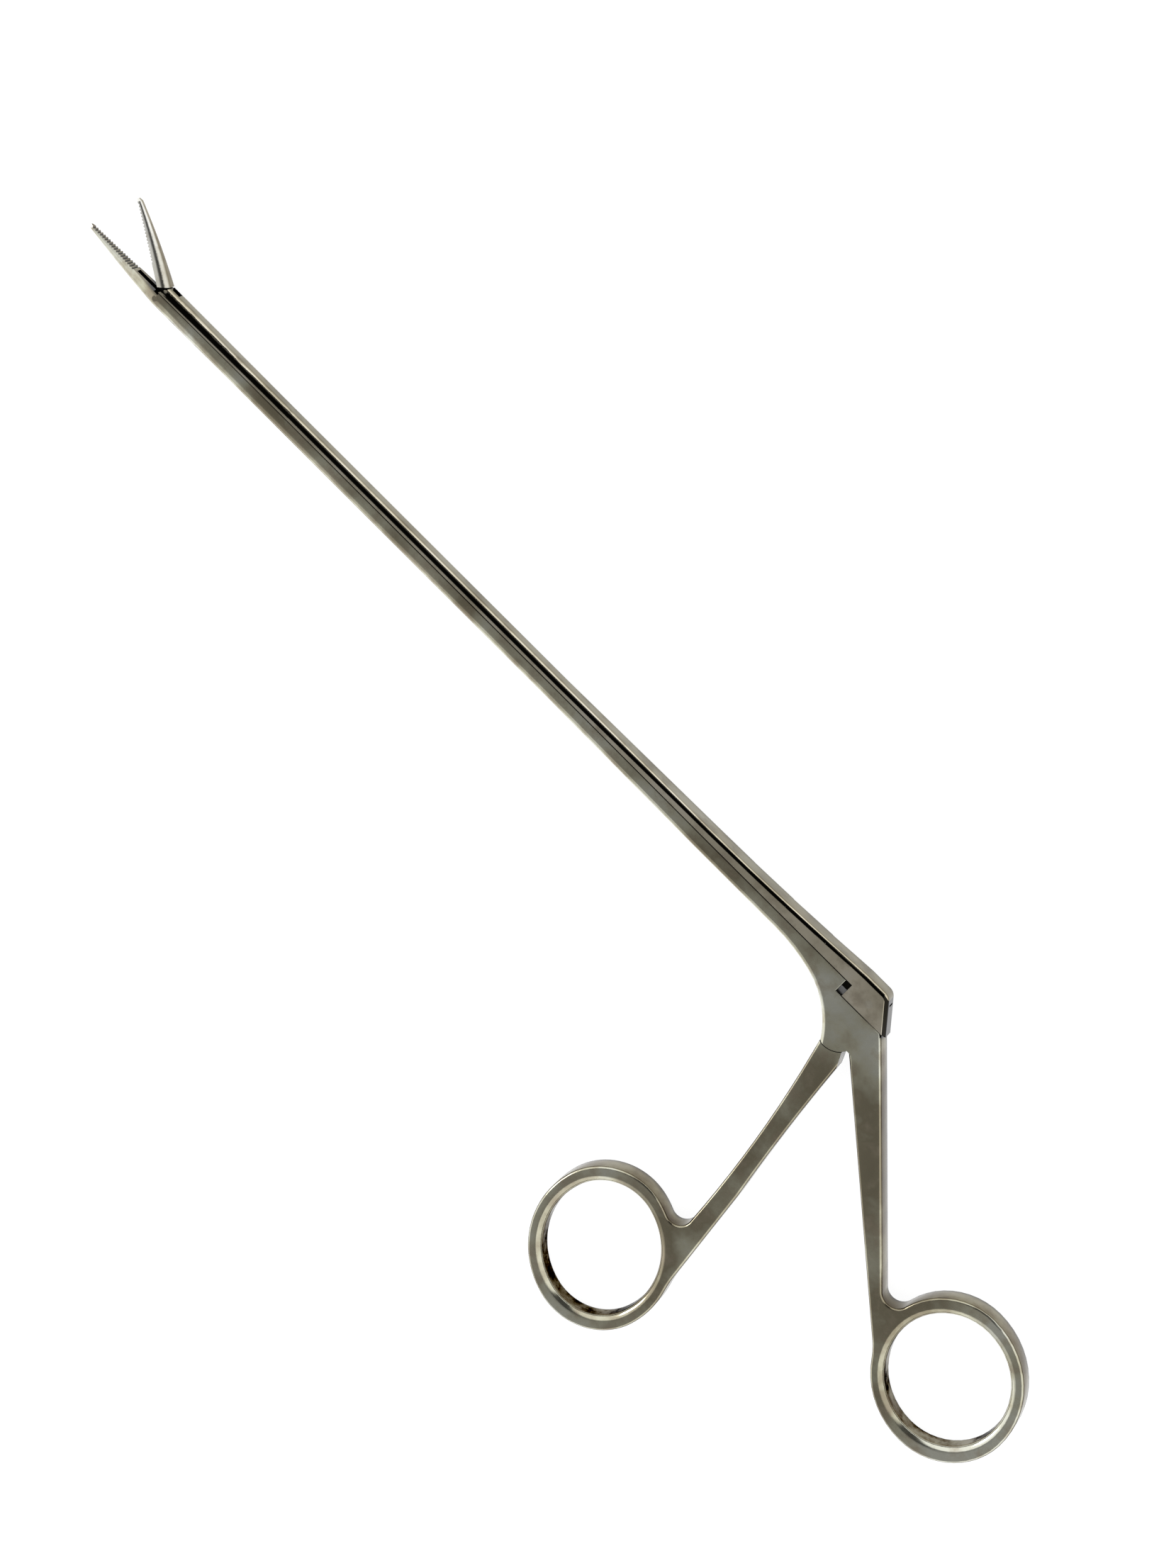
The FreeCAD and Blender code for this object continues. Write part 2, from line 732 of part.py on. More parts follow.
def make_slide():
    body = new_body("upper_slide")
    outline = new_sketch(body, "hood_outline")
    yoke_top = size.seam_height + size.yoke_slide_rise
    hood_floor = size.lower_seam_height + size.seam_gap
    draw_outline(outline, [
        (-size.yoke_station, slide_floor),
        (-size.hood_front_reach, slide_floor),
        (-size.hood_front_reach, hood_floor),
        (size.hood_bottom_reach, hood_floor),
        (size.hood_top_reach, size.hood_height),
        (-size.hood_crown_start, size.hood_height, -size.crown_radius),
        (-size.yoke_station, yoke_top),
    ])
    pad(body, "hood", outline, size.plate_thickness)

    def corner_edge(edge):
        return upright(edge) and at_height(edge, size.hood_height) \
            and at_station(edge, size.hood_top_reach)

    round_edges(body, "hood_corner", size.hood_corner_radius, corner_edge)

    def crown_edge(edge):
        middle = middle_of(edge)
        above = middle.y > yoke_top.number
        behind = middle.x > size.hood_top_reach.number
        return in_side_face(edge) and (above or behind)

    round_edges(body, "crown_edges", size.yoke_corner, crown_edge)
    bar = []
    for index, (station, width, depth, rise, corner) in enumerate(stations):
        far = size.seam_height + rise
        if index == len(stations) - 1:
            station = station - size.nose_reach
        bar.append(draw_section(body, f"bar_{index}", station, width, slide_floor, far, corner))
    loft(body, "bar", bar, straight=True)

    nose = new_sketch(body, "nose_cut")
    front = jaw_pivot_x - size.nose_reach
    top = size.seam_height + size.tip_slide_rise
    draw_outline(nose, [
        (front - size.nose_foot - size.cut_overrun, size.seam_height - size.cut_overrun),
        (front - size.nose_foot, size.seam_height - size.cut_overrun),
        (front - size.nose_foot + size.nose_slope, top + size.cut_overrun),
        (front - size.nose_foot - size.cut_overrun, top + size.cut_overrun),
    ])
    pocket(body, "nose", nose)

    keel = new_sketch(body, "keel_outline")
    keel_floor = size.seam_height - size.keel_depth
    draw_outline(keel, rectangle(-size.hood_front_reach - size.keel_length,
                                 -size.hood_front_reach + size.joint_overlap, keel_floor,
                                 slide_floor + size.joint_overlap))
    pad(body, "keel", keel, size.keel_thickness)
    for name, place in lug_places.items():
        floor = size.seam_height - size.lug_depth
        neck = new_sketch(body, f"{name}_neck")
        draw_outline(neck, rectangle(place, place + size.lug_length, floor,
                                     slide_floor + size.joint_overlap))
        pad(body, f"{name}_lug_neck", neck, size.lug_neck_width)
        head = new_sketch(body, f"{name}_head")
        draw_outline(head, rectangle(place, place + size.lug_length, floor,
                                     floor + size.lug_head_height))
        pad(body, f"{name}_lug_head", head, size.lug_head_width)

    fork_slot = new_sketch(body, "fork_slot_outline")
    draw_outline(fork_slot, rectangle(-size.hood_slot_front, size.hood_slot_rear,
                                      size.lower_seam_height - size.cut_overrun,
                                      size.hood_height - size.hood_slot_roof))
    pocket(body, "fork_slot", fork_slot, slot_width)
    tang_slot = new_sketch(body, "tang_slot_outline")
    draw_outline(tang_slot, rectangle(front - size.cut_overrun, jaw_pivot_x + size.clevis_rear,
                                      slide_floor - size.cut_overrun, top + size.cut_overrun))
    pocket(body, "tang_slot", tang_slot, tang_slot_width)
    drill(body, "link_pin_hole", link_x, link_height, size.link_pin_radius)
    drill(body, "drive_pin_hole", half_travel, drive_height, size.drive_pin_radius)
    return body


# Front handle: the lever's tongue and fork, its shank and its ring

def make_handle():
    body = new_body("front_handle")
    outline = new_sketch(body, "shank_outline")
    bow_start = (-size.front_shank_bow_left, -size.front_shank_bow_y)
    bow_end = (size.front_shank_foot_left, -size.front_shank_foot_y)
    draw_outline(outline, [
        lead_in(bow_start, bow_end, size.shank_front_bow, size.front_shank_lead),
        (bow_start[0], bow_start[1], -size.shank_front_bow),
        bow_end,
        (size.front_shank_toe_right, -size.front_shank_toe_y),
        (size.front_shank_calf_right, -size.front_shank_calf_y, -size.shank_rear_bow),
        (size.front_shank_cheek_right, -size.front_shank_cheek_y),
        (size.front_shank_top_right, -size.front_shank_top_y),
    ])
    pad(body, "shank", outline, size.plate_thickness)
    add_ring(body, "ring", front_centre, size.front_hole_long, size.front_hole_short,
             size.front_wall_long, size.front_wall_short, size.front_ring_turn)

    rim_reach = size.front_hole_long + size.front_wall_long + size.pick_margin
    web_middle = (size.front_shank_foot_left.number + size.front_shank_toe_right.number) / 2

    def notch_edge(edge):
        return upright(edge) and near_ring(edge, front_centre, rim_reach) \
            and middle_of(edge).x < web_middle

    def blend_edge(edge):
        return upright(edge) and near_ring(edge, front_centre, rim_reach) \
            and middle_of(edge).x > web_middle

    round_edges(body, "notch", size.front_notch_radius, notch_edge)
    round_edges(body, "blend", size.front_blend_radius, blend_edge)

    def hole_edge(edge):
        return on_hole(edge, front_centre, size.front_hole_long)

    def handle_edge(edge):
        middle = middle_of(edge)
        below_cheek = middle.y < -size.front_shank_cheek_y.number
        return in_side_face(edge) and below_cheek and not hole_edge(edge)

    bevel_edges(body, "handle_edges", size.handle_edge_bevel, handle_edge)
    round_edges(body, "ring_lip", size.ring_inner_round, hole_edge)

    # The shoulder under the yoke's round neck
    shoulder = size.neck_radius + size.shoulder_gap
    drill(body, "shoulder", 0, 0, shoulder)

    # The tongue: a round hub on the pivot, a root down into the shank and an arm up to the fork.
    hub = new_sketch(body, "hub_circle")
    draw_circle(hub, 0, 0, size.tongue_hub_radius)
    root = new_sketch(body, "root_outline")
    draw_outline(root, [
        (-size.tongue_hub_radius, 0),
        (-size.tongue_root_left, -shoulder - size.handle_edge_bevel),
        (size.tongue_root_right, -shoulder - size.handle_edge_bevel),
        (size.tongue_hub_radius, 0),
    ])
    pad(body, "root", root, size.tongue_thickness)
    pad(body, "hub", hub, size.tongue_thickness)
    lean_sine = half_travel / size.drive_radius
    lean_cosine = drive_height / size.drive_radius
    arm = new_sketch(body, "arm_outline")
    draw_outline(arm, [
        (-(size.arm_half_width * lean_cosine), size.arm_half_width * lean_sine),
        (size.arm_half_width * lean_cosine, -(size.arm_half_width * lean_sine)),
        (half_travel + size.fork_radius * lean_cosine,
         drive_height - size.fork_radius * lean_sine, HALF_ROUND),
        (half_travel - size.fork_radius * lean_cosine,
         drive_height + size.fork_radius * lean_sine),
    ])
    pad(body, "arm", arm, size.tongue_thickness)
    mouth = new_sketch(body, "fork_mouth_outline")
    half_mouth = size.drive_pin_radius + size.fork_clearance
    top = drive_height + size.fork_reach
    slant = size.fork_reach * lean_sine
    draw_outline(mouth, [
        (half_travel - half_mouth * lean_cosine, drive_height + half_mouth * lean_sine, HALF_ROUND),
        (half_travel + half_mouth * lean_cosine, drive_height - half_mouth * lean_sine),
        (half_travel + half_mouth * lean_cosine + slant, top - half_mouth * lean_sine),
        (half_travel - half_mouth * lean_cosine + slant, top + half_mouth * lean_sine),
    ])
    pocket(body, "fork_mouth", mouth)
    drill(body, "pivot_hole", 0, 0, size.handle_pin_radius + size.running_clearance)
    return body


# Moving jaw, drawn closed about its own pivot and placed open

def make_jaw():
    body = new_body("moving_jaw")
    turned = Rotation(Vector(0, 0, 1), -size.jaw_open_angle.number)
    middle = size.plate_thickness / 2
    base = Vector(jaw_pivot_x.number, size.jaw_pivot_height.number, middle.number)
    body.Placement = Placement(base, turned)
    body.setExpression("Placement.Base.x", jaw_pivot_x.text)
    body.setExpression("Placement.Base.y", size.jaw_pivot_height.text)
    body.setExpression("Placement.Rotation.Yaw", (-size.jaw_open_angle).text)
    face = jaw_face_height + size.jaw_face_gap - size.jaw_pivot_height
    back = size.seam_height + size.tip_slide_rise - size.jaw_pivot_height
    back_section = draw_section(body, "jaw_root", origin, size.jaw_root_width, face, back,
                                size.jaw_root_corner)
    add_blade(body, back_section, origin, face, 1)
    root = new_sketch(body, "root_cut")
    draw_outline(root, [
        (-size.jaw_root_reach, face - size.cut_overrun),
        (size.cut_overrun, face - size.cut_overrun),
        (size.cut_overrun, back + size.cut_overrun),
        (-size.jaw_root_reach + size.jaw_root_slope, back),
        (-size.jaw_root_reach, face),
    ])
    pocket(body, "root", root)
    tang = new_sketch(body, "tang_outline")
    draw_outline(tang, [
        (-size.jaw_root_reach - size.tang_reach, face + size.tang_sink),
        (-size.jaw_root_reach, face - size.tang_dip),
        (-size.knuckle_radius, -size.knuckle_radius / 2),
        (size.knuckle_radius, 0),
        (link_eye_x + size.link_eye_radius, link_eye_y),
        (-size.jaw_root_reach - size.tang_reach / 2, face + size.tang_rise),
    ])
    pad(body, "tang", tang, size.tang_thickness)
    knuckle = new_sketch(body, "knuckle_circle")
    draw_circle(knuckle, 0, 0, size.knuckle_radius)
    pad(body, "knuckle", knuckle, size.tang_thickness)
    eye = new_sketch(body, "link_eye_circle")
    draw_circle(eye, link_eye_x, link_eye_y, size.link_eye_radius)
    pad(body, "link_eye", eye, size.tang_thickness)
    drill(body, "pivot_hole", 0, 0, size.jaw_pin_radius + size.running_clearance)
    slot = new_sketch(body, "link_slot_outline")
    half = size.link_pin_radius + size.running_clearance
    reach = size.link_play
    ux = link_eye_x / size.link_radius
    uy = link_eye_y / size.link_radius
    draw_outline(slot, [
        (link_eye_x - half * uy, link_eye_y + half * ux),
        (link_eye_x - half * uy - reach * ux, link_eye_y + half * ux - reach * uy,
         HALF_ROUND),
        (link_eye_x + half * uy - reach * ux, link_eye_y - half * ux - reach * uy),
        (link_eye_x + half * uy, link_eye_y - half * ux, HALF_ROUND),
    ])
    pocket(body, "link_slot", slot)
    cut_teeth(body, face, -tooth_start, half_pitch, 1)
    return body


def make_pin(name, across, along, radius, length):
    pin = doc.addObject("Part::Cylinder", name)
    pin.Label = name
    pin.Radius = radius.number
    pin.setExpression("Radius", radius.text)
    pin.Height = length.number
    pin.setExpression("Height", length.text)
    low = (size.plate_thickness - length) / 2
    pin.Placement = Placement(Vector(across.number, along.number, low.number), Rotation())
    for axis, value in (("x", across), ("y", along), ("z", low)):
        pin.setExpression(f"Placement.Base.{axis}", value.text)
    return pin


frame = make_frame()
slide = make_slide()
handle = make_handle()
jaw = make_jaw()
pins = [
    make_pin("jaw_pivot_pin", jaw_pivot_x, size.jaw_pivot_height, size.jaw_pin_radius,
             size.tip_width),
    make_pin("jaw_link_pin", link_x, link_height, size.link_pin_radius, size.link_pin_length),
    make_pin("handle_pivot_pin", origin, origin, size.handle_pin_radius,
             size.plate_thickness),
    make_pin("slide_drive_pin", half_travel, drive_height, size.drive_pin_radius,
             size.plate_thickness),
]
doc.recompute()
sub_parts = [frame, slide, jaw, handle] + pins

for item in doc.Objects:
    if "Invalid" in item.State or "Error" in item.State:
        raise RuntimeError(f"{item.Name} failed: {item.State}")
for part in sub_parts:
    if part.Shape.isNull() or not part.Shape.isValid():
        raise RuntimeError(f"{part.Label} has no valid shape")
    if len(part.Shape.Solids) != 1:
        raise RuntimeError(f"{part.Label} is not one solid")

os.makedirs("parts", exist_ok=True)
for part in sub_parts:
    part.Shape.exportStep(f"parts/{part.Label}.step")
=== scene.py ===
import json
import math

import bmesh
import bpy
from mathutils import Matrix, Vector


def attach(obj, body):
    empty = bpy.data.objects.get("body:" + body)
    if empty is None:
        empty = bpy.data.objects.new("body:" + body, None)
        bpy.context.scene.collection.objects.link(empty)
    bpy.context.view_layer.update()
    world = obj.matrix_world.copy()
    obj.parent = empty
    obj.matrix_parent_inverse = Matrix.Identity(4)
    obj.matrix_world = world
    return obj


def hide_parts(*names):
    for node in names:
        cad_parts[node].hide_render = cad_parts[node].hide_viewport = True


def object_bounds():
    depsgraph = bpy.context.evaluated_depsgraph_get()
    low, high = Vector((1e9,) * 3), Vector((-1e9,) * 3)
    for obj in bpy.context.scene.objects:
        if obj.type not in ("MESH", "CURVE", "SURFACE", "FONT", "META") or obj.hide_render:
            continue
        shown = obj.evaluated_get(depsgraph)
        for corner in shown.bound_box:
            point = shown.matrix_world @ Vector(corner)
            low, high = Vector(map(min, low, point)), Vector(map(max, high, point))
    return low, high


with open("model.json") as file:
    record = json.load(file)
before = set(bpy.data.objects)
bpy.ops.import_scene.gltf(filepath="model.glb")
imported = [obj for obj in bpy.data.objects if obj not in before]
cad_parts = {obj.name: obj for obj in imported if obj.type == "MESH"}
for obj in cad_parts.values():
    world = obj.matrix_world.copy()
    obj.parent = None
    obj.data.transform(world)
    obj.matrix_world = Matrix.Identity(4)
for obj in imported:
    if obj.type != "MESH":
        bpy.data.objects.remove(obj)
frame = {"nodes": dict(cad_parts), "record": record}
startLow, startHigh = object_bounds()


# Node helpers

def newMaterial(name):
    mat = bpy.data.materials.new(name)
    mat.use_nodes = True
    mat.node_tree.nodes.clear()
    return mat, mat.node_tree


def addNode(tree, kind, **inputs):
    node = tree.nodes.new(kind)
    for key, value in inputs.items():
        # i0 and i1 stand for the first two sockets of nodes whose sockets share one name
        socket = node.inputs[int(key[1:])] if key in ("i0", "i1") else node.inputs[key]
        if isinstance(value, bpy.types.NodeSocket):
            tree.links.new(value, socket)
        else:
            socket.default_value = value
    return node


def calc(tree, operation, a, b=0.0, clamp=False):
    node = addNode(tree, "ShaderNodeMath", i0=a, i1=b)
    node.operation = operation
    node.use_clamp = clamp
    return node.outputs[0]


def grey(value):
    return (value, value, value)


def ramp(tree, value, places, colours):
    node = addNode(tree, "ShaderNodeValToRGB", Fac=value)
    elements = node.color_ramp.elements
    while len(elements) < len(places):
        elements.new(0.5)
    for element, place, colour in zip(elements, places, colours):
        element.position = place
        element.color = (*colour, 1.0)
    return node.outputs[0]


def noise(tree, vector, pattern):
    scale, detail, rough = pattern
    node = addNode(tree, "ShaderNodeTexNoise", Vector=vector, Scale=scale, Detail=detail, Roughness=rough)
    return node.outputs["Fac"]


def mixColour(tree, share, a, b, blend="MIX"):
    node = tree.nodes.new("ShaderNodeMix")
    node.data_type = "RGBA"
    node.blend_type = blend
    # inputs 6 and 7 are the two colours of the node
    for socket, value in ((node.inputs[0], share), (node.inputs[6], a), (node.inputs[7], b)):
        if isinstance(value, bpy.types.NodeSocket):
            tree.links.new(value, socket)
        elif socket.type == "RGBA":
            socket.default_value = (*value, 1.0)
        else:
            socket.default_value = value
    return node.outputs[2]


# Steel: a pattern is the scale, detail and roughness of its noise

steelLook = {
    "paleColour": (0.70, 0.70, 0.60),
    "steelColour": (0.57, 0.55, 0.42),
    "stainColour": (0.31, 0.275, 0.19),
    "stainPattern": (60.0, 5.0, 0.55),
    "stainPlaces": (0.4, 0.49, 0.6),
    "smudgeColour": (0.40, 0.34, 0.26),
    "smudgePattern": (240.0, 6.0, 0.6),
    "smudgeFrom": 0.5,
    "smudgeShare": 3.0,
    "roughness": 0.15,
    "wearFrom": 0.45,
    "wearDepth": 0.25,
    # wall colours: painted shade and reflection darken the walls, mottled with stains
    "wallShadeColour": (0.34, 0.31, 0.25),
    "wallShadeStain": (0.17, 0.13, 0.085),
    "wallPattern": (90.0, 6.0, 0.65),
    "wallPlaces": (0.42, 0.62),
    "wallTurns": (0.3, 0.6),
    "ringMount": None,
    "ringReach": 0.01415,  # metres from the centre of the ring
    "ringMidTone": (0.17, 0.13, 0.085),
    "ringDarkening": (0.045, 0.032, 0.02),
    "ringPattern": (130.0, 6.0, 0.7),
    "ringPlaces": (0.36, 0.48, 0.56),
    "cleanShine": 0.8,
    "dullShine": 0.3,
    "shinePlaces": (0.4, 0.55),
    # the painted dark reflection along the spine edge
    "reflectionDepth": 0.0,
    "bandFrom": 0.1,
    "bandTo": 0.62,
    "bandFade": 0.05,
    # painted shade in gaps, creases and between parts
    "shadeReach": 0.0022,
    "shadeSamples": 8,
    "shadeDepth": 0.015,
    "shadePlaces": (0.62, 0.92),
    "grainTurn": 0.0,
    "grainStretch": (0.06, 1.0, 1.0),
    "grainPattern": (5200.0, 3.0, 0.6),
    "grainDepth": 0.06,
    "bumpStrength": 0.12,
    "bumpHeight": 0.00002,
}


def mountPlace(name):
    for mount in frame["record"]["mounts"]:
        if mount["name"] == name:
            return tuple(mount["pos_m"])


def brushing(tree, place, look):
    turn = addNode(tree, "ShaderNodeMapping", Vector=place)
    turn.inputs["Rotation"].default_value = (0, 0, math.radians(look["grainTurn"]))
    turn.inputs["Scale"].default_value = look["grainStretch"]
    return noise(tree, turn.outputs[0], look["grainPattern"])


def tarnish(tree, place, smudge, look):
    colours = (look["paleColour"], look["steelColour"], look["stainColour"])
    tint = ramp(tree, noise(tree, place, look["stainPattern"]), look["stainPlaces"], colours)
    dirty = calc(tree, "SUBTRACT", smudge, look["smudgeFrom"], True)
    dirty = calc(tree, "MULTIPLY", dirty, look["smudgeShare"], True)
    return mixColour(tree, dirty, tint, look["smudgeColour"])


# walls painted darker than the flat sides as painted shade and reflection, mottled with stains
def wallShadeAndStain(tree, place, look):
    colours = (look["wallShadeColour"], look["wallShadeStain"])
    return ramp(tree, noise(tree, place, look["wallPattern"]), look["wallPlaces"], colours)


def ringDarkening(tree, place, shadedWalls, flatShare, look):
    # inside the finger ring the walls are painted darker in blotches and their glancing shine is dulled
    offset = addNode(tree, "ShaderNodeVectorMath", i0=place, i1=mountPlace(look["ringMount"]))
    offset.operation = "DISTANCE"
    inside = calc(tree, "LESS_THAN", offset.outputs["Value"], look["ringReach"])
    patch = noise(tree, place, look["ringPattern"])
    colours = (look["wallShadeColour"], look["ringMidTone"], look["ringDarkening"])
    shadedWalls = mixColour(tree, inside, shadedWalls, ramp(tree, patch, look["ringPlaces"], colours))
    shine = ramp(tree, patch, look["shinePlaces"], (grey(look["cleanShine"]), grey(look["dullShine"])))
    shine = mixColour(tree, inside, grey(1.0), shine)
    return shadedWalls, mixColour(tree, flatShare, shine, grey(1.0))


def paintedSpineReflection(tree, forward, tint, look):
    # a painted reflection: a dark stripe where the rounded spine edge turns from the wall to the flat
    # side
    start, end, fade = look["bandFrom"], look["bandTo"], look["bandFade"]
    band = ramp(tree, forward, (start, start + fade, end, end + fade),
                (grey(0.0), grey(1.0), grey(1.0), grey(0.0)))
    return mixColour(tree, calc(tree, "MULTIPLY", band, look["reflectionDepth"]), tint, grey(0.0))


# painted shade: ambient occlusion darkens the colour in gaps, creases and between parts
def gapShadePaint(tree, tint, look):
    cavity = addNode(tree, "ShaderNodeAmbientOcclusion", Distance=look["shadeReach"])
    cavity.samples = look["shadeSamples"]
    colours = (grey(look["shadeDepth"]), grey(1.0))
    unshadedShare = ramp(tree, cavity.outputs["AO"], look["shadePlaces"], colours)
    return mixColour(tree, 1.0, tint, unshadedShare, "MULTIPLY")


def makeSteel(name, **changes):
    look = dict(steelLook, **changes)
    mat, tree = newMaterial(name)
    coordinates = tree.nodes.new("ShaderNodeTexCoord")
    place = coordinates.outputs["Object"]
    facing = addNode(tree, "ShaderNodeSeparateXYZ", Vector=coordinates.outputs["Normal"])
    grain = brushing(tree, place, look)
    smudge = noise(tree, place, look["smudgePattern"])
    shader = addNode(tree, "ShaderNodeBsdfPrincipled", Metallic=1.0)

    # 1 on the flat sides, 0 on the walls
    upright = calc(tree, "ABSOLUTE", facing.outputs[2])
    flatShare = ramp(tree, upright, look["wallTurns"], (grey(0.0), grey(1.0)))
    shadedWalls = wallShadeAndStain(tree, place, look)
    # inside the finger ring the walls are painted darker in blotches, with duller shine
    if look["ringMount"]:
        shadedWalls, edgeShine = ringDarkening(tree, place, shadedWalls, flatShare, look)
        tree.links.new(edgeShine, shader.inputs["Specular Tint"])
    tint = tarnish(tree, place, smudge, look)
    # the walls take their painted shade and reflection, with stains
    tint = mixColour(tree, 1.0, tint, mixColour(tree, flatShare, shadedWalls, grey(1.0)), "MULTIPLY")
    # painted dark reflection along the spine edge
    if look["reflectionDepth"] > 0:
        tint = paintedSpineReflection(tree, facing.outputs[1], tint, look)
    # painted shade in gaps and creases
    tint = gapShadePaint(tree, tint, look)

    wear = calc(tree, "MULTIPLY", calc(tree, "SUBTRACT", smudge, look["wearFrom"]), look["wearDepth"])
    brushed = calc(tree, "MULTIPLY", calc(tree, "SUBTRACT", grain, 0.5), look["grainDepth"])
    rough = calc(tree, "ADD", calc(tree, "ADD", wear, look["roughness"]), brushed, True)
    bump = addNode(tree, "ShaderNodeBump", Height=grain, Strength=look["bumpStrength"])
    bump.inputs["Distance"].default_value = look["bumpHeight"]

    tree.links.new(tint, shader.inputs["Base Color"])
    tree.links.new(rough, shader.inputs["Roughness"])
    tree.links.new(bump.outputs[0], shader.inputs["Normal"])
    out = tree.nodes.new("ShaderNodeOutputMaterial")
    tree.links.new(shader.outputs[0], out.inputs[0])
    return mat


slideLook = {
    "paleColour": (0.88, 0.82, 0.69),
    "steelColour": (0.81, 0.74, 0.58),
    "stainColour": (0.62, 0.56, 0.42),
    "wallShadeColour": (0.31, 0.315, 0.29),
    "wallShadeStain": (0.27, 0.26, 0.22),
    "reflectionDepth": 0.97,
    "roughness": 0.1,
}
jawLook = {
    "paleColour": (0.84, 0.83, 0.78),
    "steelColour": (0.74, 0.73, 0.66),
    "stainColour": (0.56, 0.53, 0.44),
}
pinLook = {
    "grainStretch": (1.0, 1.0, 1.0),
    "grainPattern": (2600.0, 3.0, 0.6),
    "roughness": 0.17,
}
drivePinLook = {
    "paleColour": (0.84, 0.80, 0.70),
    "steelColour": (0.78, 0.73, 0.60),
    "stainColour": (0.60, 0.54, 0.40),
    "roughness": 0.12,
}
frameSteel = makeSteel("frameSteel", ringMount="rear_finger_ring")
slideSteel = makeSteel("slideSteel", **slideLook)
jawSteel = makeSteel("jawSteel", **jawLook)
handleSteel = makeSteel("handleSteel", grainTurn=-85.0, ringMount="front_finger_ring")
pinSteel = makeSteel("pinSteel", **pinLook)
drivePinSteel = makeSteel("drivePinSteel", **drivePinLook)
print("steel done")


# Pieces: a smooth copy of each node takes its place

# edges that turn by more degrees than this stay sharp; the teeth stand before toothedBefore
creaseLook = {"body": 50, "small": 40, "toothed": 24, "toothedBefore": -0.179}
meshLook = {"mergeGap": 1e-6, "flatAngle": 0.3, "normalWeight": 50}


def smoothCopy(nodeName, pieceName, body, slotName, material, crease):
    node = frame["nodes"][nodeName]
    mesh = node.data.copy()
    mesh.name = pieceName
    piece = bpy.data.objects.new(pieceName, mesh)
    bpy.context.scene.collection.objects.link(piece)
    work = bmesh.new()
    work.from_mesh(mesh)
    bmesh.ops.remove_doubles(work, verts=work.verts, dist=meshLook["mergeGap"])
    bmesh.ops.dissolve_limit(work, angle_limit=math.radians(meshLook["flatAngle"]),
                             use_dissolve_boundaries=False, verts=work.verts, edges=work.edges,
                             delimit={"NORMAL"})
    for face in work.faces:
        face.smooth = True
    for edge in work.edges:
        middle = (edge.verts[0].co + edge.verts[1].co) / 2
        limit = creaseLook["toothed"] if middle.x < creaseLook["toothedBefore"] else crease
        edge.smooth = edge.calc_face_angle(math.pi) < math.radians(limit)
    work.to_mesh(mesh)
    work.free()
    mesh.materials.clear()
    mesh.materials.append(material)
    normals = piece.modifiers.new("weighted", "WEIGHTED_NORMAL")
    normals.keep_sharp = True
    normals.weight = meshLook["normalWeight"]
    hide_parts(nodeName)
    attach(piece, body)


pieceTable = [
    ("lower_frame", "lowerFrame", "frame", "frame_steel", frameSteel, creaseLook["body"]),
    ("upper_slide", "upperSlide", "slide", "slide_steel", slideSteel, creaseLook["body"]),
    ("moving_jaw", "movingJaw", "jaw", "jaw_steel", jawSteel, creaseLook["small"]),
    ("front_handle", "frontHandle", "lever", "handle_steel", handleSteel, creaseLook["body"]),
    ("jaw_pivot_pin", "jawPivotPin", "frame", "pin_steel", pinSteel, creaseLook["small"]),
    ("handle_pivot_pin", "handlePivotPin", "frame", "pin_steel", pinSteel, creaseLook["small"]),
    ("jaw_link_pin", "jawLinkPin", "slide", "pin_steel", drivePinSteel, creaseLook["small"]),
    ("slide_drive_pin", "slideDrivePin", "slide", "pin_steel", drivePinSteel, creaseLook["small"]),
]
for row in pieceTable:
    smoothCopy(*row)
print("pieces done")


# White table under the forceps

tableLook = {"colour": (0.25, 0.25, 0.25), "glow": 0.92, "side": 4.0, "gap": 0.0002}


def makeTable():
    work = bmesh.new()
    bmesh.ops.create_grid(work, x_segments=1, y_segments=1, size=tableLook["side"] / 2)
    mesh = bpy.data.meshes.new("whiteTable")
    work.to_mesh(mesh)
    work.free()
    plane = bpy.data.objects.new("whiteTable", mesh)
    bpy.context.scene.collection.objects.link(plane)
    plane.location.z = startLow.z - tableLook["gap"]
    mat, tree = newMaterial("whiteTable")
    paper = addNode(tree, "ShaderNodeBsdfDiffuse", Color=(*tableLook["colour"], 1.0))
    glow = addNode(tree, "ShaderNodeEmission", Color=(1.0, 1.0, 1.0, 1.0), Strength=tableLook["glow"])
    both = tree.nodes.new("ShaderNodeAddShader")
    tree.links.new(paper.outputs[0], both.inputs[0])
    tree.links.new(glow.outputs[0], both.inputs[1])
    out = tree.nodes.new("ShaderNodeOutputMaterial")
    tree.links.new(both.outputs[0], out.inputs[0])
    mesh.materials.append(mat)
    return plane


makeTable()
print("table done")


# Sky: a bright room with a dimmer strip overhead that the flat sides mirror

skyLook = {
    "bright": 1.15,
    "strip": [  # degrees from the zenith towards +Y, brightness there
        (-75, 0.72),
        (-39, 0.72),
        (-31, 0.3375),
        (-22, 0.27),
        (-4, 0.243),
        (6, 0.06),
        (79, 0.06),
        (83, 1.25),
        (89, 1.25),
    ],
    "stripShift": 0.06,
    "stripEnds": (0.2, 0.34),  # sideways the strip fades into the bright room between these two
}


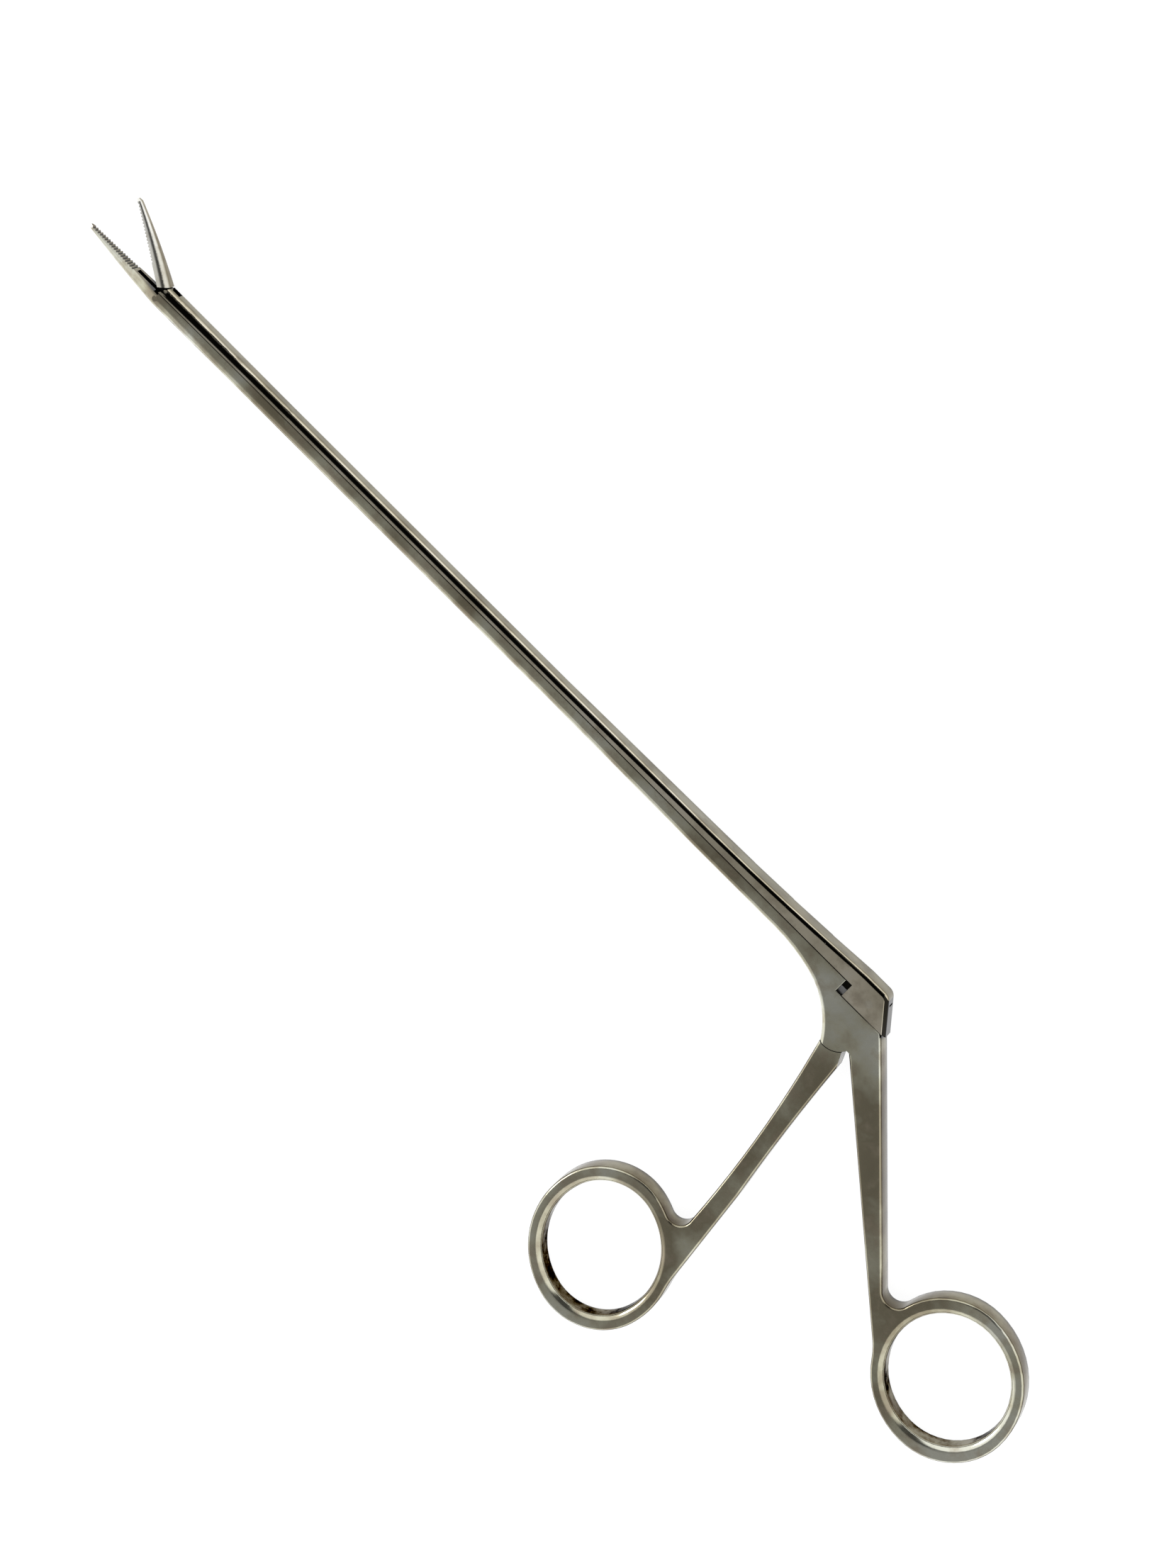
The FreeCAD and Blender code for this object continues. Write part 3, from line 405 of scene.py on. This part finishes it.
def makeSky():
    world = bpy.data.worlds.new("studio")
    bpy.context.scene.world = world
    world.use_nodes = True
    tree = world.node_tree
    tree.nodes.clear()
    ray = tree.nodes.new("ShaderNodeTexCoord").outputs["Generated"]
    x, y, z = addNode(tree, "ShaderNodeSeparateXYZ", Vector=ray).outputs
    tilt = calc(tree, "MULTIPLY", calc(tree, "ARCTAN2", y, z), 180 / math.pi)
    tiltShare = calc(tree, "DIVIDE", calc(tree, "ADD", tilt, 90.0), 180.0, True)
    places = [(degrees + 90) / 180 for degrees, light in skyLook["strip"]]
    lights = [grey(light) for degrees, light in skyLook["strip"]]
    strip = ramp(tree, tiltShare, places, lights)
    aside = calc(tree, "ABSOLUTE", calc(tree, "ADD", x, skyLook["stripShift"]))
    asideShare = ramp(tree, aside, skyLook["stripEnds"], (grey(0.0), grey(1.0)))
    colour = mixColour(tree, asideShare, strip, grey(skyLook["bright"]))
    back = addNode(tree, "ShaderNodeBackground", Color=colour, Strength=1.0)
    out = tree.nodes.new("ShaderNodeOutputWorld")
    tree.links.new(back.outputs[0], out.inputs[0])


makeSky()


# Lamp

lampLook = {
    "spot": (-0.95, -0.35, 0.35),
    "target": (-0.06, -0.02, 0.0),
    "side": 0.45,
    "power": 5.0,
}


def makeLamp():
    data = bpy.data.lights.new("softLamp", "AREA")
    data.shape = "SQUARE"
    data.size = lampLook["side"]
    data.energy = lampLook["power"]
    lamp = bpy.data.objects.new("softLamp", data)
    bpy.context.scene.collection.objects.link(lamp)
    lamp.location = lampLook["spot"]
    lamp.rotation_mode = "QUATERNION"
    aim = Vector(lampLook["target"]) - Vector(lampLook["spot"])
    lamp.rotation_quaternion = aim.to_track_quat("-Z", "Y")


makeLamp()
print("light done")


# Camera fitted to the photo; focal length and height are in the photo's pixels

cameraLook = {
    "target": (-0.064, -0.020, 0.0025),
    "distance": 0.900,
    "back": (0.0584, 0.3821, 0.9223),
    "right": (0.7056, 0.6378, -0.3089),
    "focalPixels": 6880.1,
    "photoHeight": 2212,
    "sensor": 36.0,
    "shift": (0.0406, 0.0425),
    "near": 0.05,
    "far": 20.0,
}


def makeCamera():
    data = bpy.data.cameras.new("photoCamera")
    camera = bpy.data.objects.new("photoCamera", data)
    bpy.context.scene.collection.objects.link(camera)
    bpy.context.scene.camera = camera
    data.lens = cameraLook["focalPixels"] * cameraLook["sensor"] / cameraLook["photoHeight"]
    data.sensor_width = cameraLook["sensor"]
    data.shift_x, data.shift_y = cameraLook["shift"]
    data.clip_start, data.clip_end = cameraLook["near"], cameraLook["far"]
    back = Vector(cameraLook["back"]).normalized()
    right = Vector(cameraLook["right"])
    right = (right - back * right.dot(back)).normalized()
    up = back.cross(right)
    camera.rotation_mode = "QUATERNION"
    camera.rotation_quaternion = Matrix((right, up, back)).transposed().to_quaternion()
    camera.location = Vector(cameraLook["target"]) + back * cameraLook["distance"]


makeCamera()
bpy.context.scene.view_settings.view_transform = "Standard"
print("camera done")
